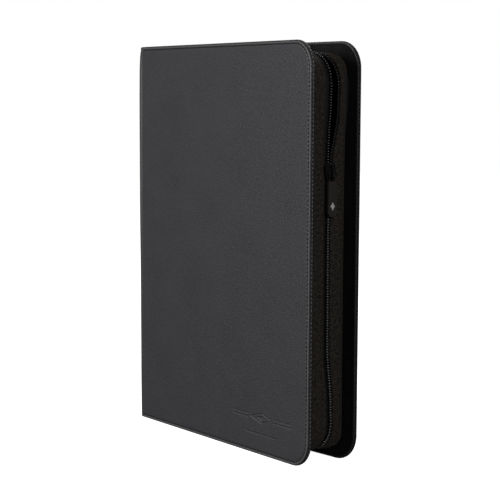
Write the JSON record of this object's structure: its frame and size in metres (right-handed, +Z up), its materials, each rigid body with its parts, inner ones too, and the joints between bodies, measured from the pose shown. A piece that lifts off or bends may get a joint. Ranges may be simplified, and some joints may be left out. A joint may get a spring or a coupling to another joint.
{
  "type": "trading card binder",
  "caption": "Zip-round binder with leather-look covers, fabric gussets and nine-pocket leaves that fan out as it opens flat.",
  "frame": {"origin": "centre of the footprint, on the surface that the binder stands on", "axes": "+Z up; +X from the spine towards the fore edge with the zip; -Y is the way the front cover faces"},
  "size_m": [0.268, 0.0528, 0.35],
  "materials": {
    "coated_leather": "satin",
    "greyboard": "matte",
    "lining_fabric": "matte",
    "gusset_fabric": "matte",
    "zip_tape": "matte",
    "zip_coil": "satin",
    "black_metal": "satin",
    "pull_rubber": "matte",
    "page_film": "gloss",
    "binding_tape": "matte"
  },
  "bodies": {
    "back_cover": {"back_cover_skin": "coated_leather", "back_cover_board": "greyboard", "back_cover_lining": "lining_fabric", "back_gusset": "gusset_fabric", "back_zip_tape": "zip_tape", "back_zip_coil": "zip_coil", "back_zip_top_stop": "black_metal", "zip_bottom_stop": "black_metal"},
    "spine": {"spine_skin": "coated_leather", "spine_board": "greyboard", "spine_lining": "lining_fabric", "back_crease": "coated_leather", "front_crease": "coated_leather", "page_binding_strip": "binding_tape", "gusset_end_top": "gusset_fabric", "gusset_end_bottom": "gusset_fabric"},
    "front_cover": {"front_cover_skin": "coated_leather", "front_cover_board": "greyboard", "front_cover_lining": "lining_fabric", "front_gusset": "gusset_fabric", "front_zip_tape": "zip_tape", "front_zip_coil": "zip_coil", "front_zip_top_stop": "black_metal"},
    "slider": {"slider_body": "black_metal", "slider_bail": "black_metal"},
    "pull": {"pull_link": "black_metal", "pull_tab": "pull_rubber"},
    "page_01": {"page_01": "page_film"},
    "page_02": {"page_02": "page_film"},
    "page_03": {"page_03": "page_film"},
    "page_04": {"page_04": "page_film"},
    "page_05": {"page_05": "page_film"},
    "page_06": {"page_06": "page_film"},
    "page_07": {"page_07": "page_film"},
    "page_08": {"page_08": "page_film"},
    "page_09": {"page_09": "page_film"},
    "page_10": {"page_10": "page_film"},
    "page_11": {"page_11": "page_film"},
    "page_12": {"page_12": "page_film"},
    "page_13": {"page_13": "page_film"},
    "page_14": {"page_14": "page_film"},
    "page_15": {"page_15": "page_film"},
    "page_16": {"page_16": "page_film"},
    "page_17": {"page_17": "page_film"},
    "page_18": {"page_18": "page_film"},
    "page_19": {"page_19": "page_film"},
    "page_20": {"page_20": "page_film"}
  },
  "joints": [
    {"name": "spine_hinge", "type": "hinge", "parent": "back_cover", "child": "spine", "pos_m": [-0.1328, 0.01594, 0.175], "axis": [0, 0, -1], "range_deg": [0, 88]},
    {"name": "front_cover_hinge", "type": "hinge", "parent": "spine", "child": "front_cover", "pos_m": [-0.1328, -0.01594, 0.175], "axis": [0, 0, -1], "range_deg": [0, 88]},
    {"name": "zip_slider_slide", "type": "slide", "parent": "back_cover", "child": "slider", "axis": [0, 0, 1], "range_m": [-0.196, 0.06]},
    {"name": "pull_hinge", "type": "hinge", "parent": "slider", "child": "pull", "pos_m": [0.1255, 0.003, 0.243], "axis": [0, -1, 0], "range_deg": [0, 170]},
    {"name": "page_01_turn", "type": "hinge", "parent": "spine", "child": "page_01", "pos_m": [-0.12815, -0.01045, 0.175], "axis": [0, 0, -1], "range_deg": [0, 84.1]},
    {"name": "page_02_turn", "type": "hinge", "parent": "spine", "child": "page_02", "pos_m": [-0.12755, -0.00935, 0.175], "axis": [0, 0, -1], "range_deg": [0, 75.3]},
    {"name": "page_03_turn", "type": "hinge", "parent": "spine", "child": "page_03", "pos_m": [-0.12702, -0.00825, 0.175], "axis": [0, 0, -1], "range_deg": [0, 66.5]},
    {"name": "page_04_turn", "type": "hinge", "parent": "spine", "child": "page_04", "pos_m": [-0.12655, -0.00715, 0.175], "axis": [0, 0, -1], "range_deg": [0, 57.7]},
    {"name": "page_05_turn", "type": "hinge", "parent": "spine", "child": "page_05", "pos_m": [-0.12616, -0.00605, 0.175], "axis": [0, 0, -1], "range_deg": [0, 48.9]},
    {"name": "page_06_turn", "type": "hinge", "parent": "spine", "child": "page_06", "pos_m": [-0.12582, -0.00495, 0.175], "axis": [0, 0, -1], "range_deg": [0, 40.1]},
    {"name": "page_07_turn", "type": "hinge", "parent": "spine", "child": "page_07", "pos_m": [-0.12556, -0.00385, 0.175], "axis": [0, 0, -1], "range_deg": [0, 31.3]},
    {"name": "page_08_turn", "type": "hinge", "parent": "spine", "child": "page_08", "pos_m": [-0.12536, -0.00275, 0.175], "axis": [0, 0, -1], "range_deg": [0, 22.5]},
    {"name": "page_09_turn", "type": "hinge", "parent": "spine", "child": "page_09", "pos_m": [-0.12523, -0.00165, 0.175], "axis": [0, 0, -1], "range_deg": [0, 13.7]},
    {"name": "page_10_turn", "type": "hinge", "parent": "spine", "child": "page_10", "pos_m": [-0.12516, -0.00055, 0.175], "axis": [0, 0, -1], "range_deg": [0, 4.9]},
    {"name": "page_11_turn", "type": "hinge", "parent": "spine", "child": "page_11", "pos_m": [-0.12516, 0.00055, 0.175], "axis": [0, 0, -1], "range_deg": [-4.9, 0]},
    {"name": "page_12_turn", "type": "hinge", "parent": "spine", "child": "page_12", "pos_m": [-0.12523, 0.00165, 0.175], "axis": [0, 0, -1], "range_deg": [-13.7, 0]},
    {"name": "page_13_turn", "type": "hinge", "parent": "spine", "child": "page_13", "pos_m": [-0.12536, 0.00275, 0.175], "axis": [0, 0, -1], "range_deg": [-22.5, 0]},
    {"name": "page_14_turn", "type": "hinge", "parent": "spine", "child": "page_14", "pos_m": [-0.12556, 0.00385, 0.175], "axis": [0, 0, -1], "range_deg": [-31.3, 0]},
    {"name": "page_15_turn", "type": "hinge", "parent": "spine", "child": "page_15", "pos_m": [-0.12582, 0.00495, 0.175], "axis": [0, 0, -1], "range_deg": [-40.1, 0]},
    {"name": "page_16_turn", "type": "hinge", "parent": "spine", "child": "page_16", "pos_m": [-0.12616, 0.00605, 0.175], "axis": [0, 0, -1], "range_deg": [-48.9, 0]},
    {"name": "page_17_turn", "type": "hinge", "parent": "spine", "child": "page_17", "pos_m": [-0.12655, 0.00715, 0.175], "axis": [0, 0, -1], "range_deg": [-57.7, 0]},
    {"name": "page_18_turn", "type": "hinge", "parent": "spine", "child": "page_18", "pos_m": [-0.12702, 0.00825, 0.175], "axis": [0, 0, -1], "range_deg": [-66.5, 0]},
    {"name": "page_19_turn", "type": "hinge", "parent": "spine", "child": "page_19", "pos_m": [-0.12755, 0.00935, 0.175], "axis": [0, 0, -1], "range_deg": [-75.3, 0]},
    {"name": "page_20_turn", "type": "hinge", "parent": "spine", "child": "page_20", "pos_m": [-0.12815, 0.01045, 0.175], "axis": [0, 0, -1], "range_deg": [-84.1, 0]}
  ],
  "couplings": [
    {"joint": "page_01_turn", "follows": "front_cover_hinge", "ratio": 0.95},
    {"joint": "page_02_turn", "follows": "front_cover_hinge", "ratio": 0.85},
    {"joint": "page_03_turn", "follows": "front_cover_hinge", "ratio": 0.75},
    {"joint": "page_04_turn", "follows": "front_cover_hinge", "ratio": 0.65},
    {"joint": "page_05_turn", "follows": "front_cover_hinge", "ratio": 0.55},
    {"joint": "page_06_turn", "follows": "front_cover_hinge", "ratio": 0.45},
    {"joint": "page_07_turn", "follows": "front_cover_hinge", "ratio": 0.35},
    {"joint": "page_08_turn", "follows": "front_cover_hinge", "ratio": 0.25},
    {"joint": "page_09_turn", "follows": "front_cover_hinge", "ratio": 0.15},
    {"joint": "page_10_turn", "follows": "front_cover_hinge", "ratio": 0.05},
    {"joint": "page_11_turn", "follows": "spine_hinge", "ratio": -0.05},
    {"joint": "page_12_turn", "follows": "spine_hinge", "ratio": -0.15},
    {"joint": "page_13_turn", "follows": "spine_hinge", "ratio": -0.25},
    {"joint": "page_14_turn", "follows": "spine_hinge", "ratio": -0.35},
    {"joint": "page_15_turn", "follows": "spine_hinge", "ratio": -0.45},
    {"joint": "page_16_turn", "follows": "spine_hinge", "ratio": -0.55},
    {"joint": "page_17_turn", "follows": "spine_hinge", "ratio": -0.65},
    {"joint": "page_18_turn", "follows": "spine_hinge", "ratio": -0.75},
    {"joint": "page_19_turn", "follows": "spine_hinge", "ratio": -0.85},
    {"joint": "page_20_turn", "follows": "spine_hinge", "ratio": -0.95}
  ]
}
